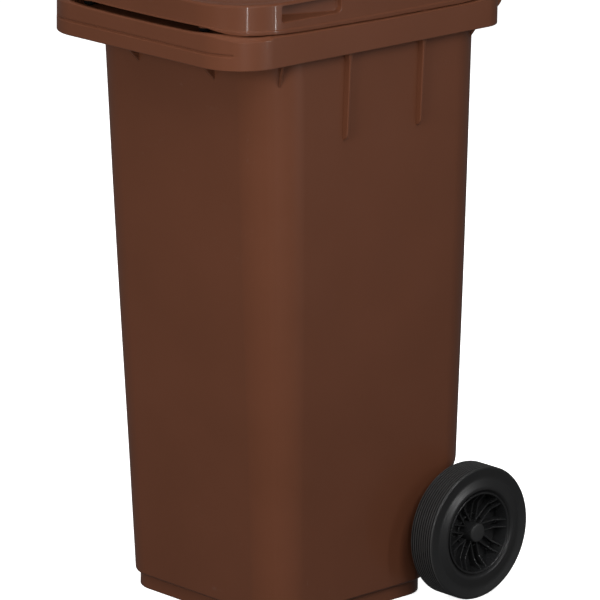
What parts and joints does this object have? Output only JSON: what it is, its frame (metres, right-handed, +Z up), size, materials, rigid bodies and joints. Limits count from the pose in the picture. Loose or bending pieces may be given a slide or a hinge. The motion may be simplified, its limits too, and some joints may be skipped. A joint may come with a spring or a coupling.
{
  "type": "wheelie bin",
  "caption": "Household wheelie bin: tapered moulded tub with comb rim, rear grip bar and a hinged lid, on solid rubber wheels.",
  "frame": {"origin": "middle of the footprint on the ground, under the centre of the overall box", "axes": "+Z up; -Y the comb-rim front; +Y the wheel and grip-bar rear; X across, along the axle"},
  "size_m": [0.481, 0.57, 0.941],
  "materials": {
    "tub_plastic": "moulded, fine grain, semi-matt brown",
    "lid_plastic": "moulded, fine grain, semi-matt brown",
    "pin_plastic": "moulded brown",
    "hub_plastic": "glossy black moulding",
    "cap_plastic": "satin black moulding",
    "wheel_plastic": "black moulding",
    "tyre_rubber": "matt solid rubber",
    "buffer_rubber": "matt rubber",
    "axle_steel": "zinc-plated round bar",
    "lock_steel": "turned steel pin",
    "spring_steel": "spring wire"
  },
  "bodies": {
    "tub": {"tub": "tub_plastic", "hinge_pin_right": "pin_plastic", "hinge_pin_left": "pin_plastic"},
    "lid": {"lid": "lid_plastic", "lid_buffer_right": "buffer_rubber", "lid_buffer_left": "buffer_rubber"},
    "axle": {"axle": "axle_steel", "spacer_right": "wheel_plastic", "spacer_left": "wheel_plastic"},
    "wheel_right": {"wheel_hub_right": "hub_plastic", "tyre_right": "tyre_rubber", "hub_cap_right": "cap_plastic", "lock_plug_right": "wheel_plastic", "lock_spring_right": "spring_steel"},
    "lock_right": {"lock_pin_right": "lock_steel"},
    "wheel_left": {"wheel_hub_left": "hub_plastic", "tyre_left": "tyre_rubber", "hub_cap_left": "cap_plastic", "lock_plug_left": "wheel_plastic", "lock_spring_left": "spring_steel"},
    "lock_left": {"lock_pin_left": "lock_steel"}
  },
  "joints": [
    {"name": "lid_hinge", "type": "hinge", "parent": "tub", "child": "lid", "pos_m": [0, 0.271, 0.903], "axis": [-1, 0, 0], "range_deg": [0, 240]},
    {"name": "axle_spin", "type": "hinge", "parent": "tub", "child": "axle", "pos_m": [0, 0.182, 0.1], "axis": [1, 0, 0], "continuous": true},
    {"name": "wheel_spin_right", "type": "hinge", "parent": "axle", "child": "wheel_right", "pos_m": [0.217, 0.182, 0.1], "axis": [1, 0, 0], "continuous": true},
    {"name": "lock_pin_slide_right", "type": "slide", "parent": "wheel_right", "child": "lock_right", "axis": [0, 0, 1], "range_m": [0, 0.0032], "stiffness_N_per_m": 800, "springref_m": -0.004, "deforming": ["lock_spring_right"]},
    {"name": "wheel_spin_left", "type": "hinge", "parent": "axle", "child": "wheel_left", "pos_m": [-0.217, 0.182, 0.1], "axis": [1, 0, 0], "continuous": true},
    {"name": "lock_pin_slide_left", "type": "slide", "parent": "wheel_left", "child": "lock_left", "axis": [0, 0, 1], "range_m": [0, 0.0032], "stiffness_N_per_m": 800, "springref_m": -0.004, "deforming": ["lock_spring_left"]}
  ]
}
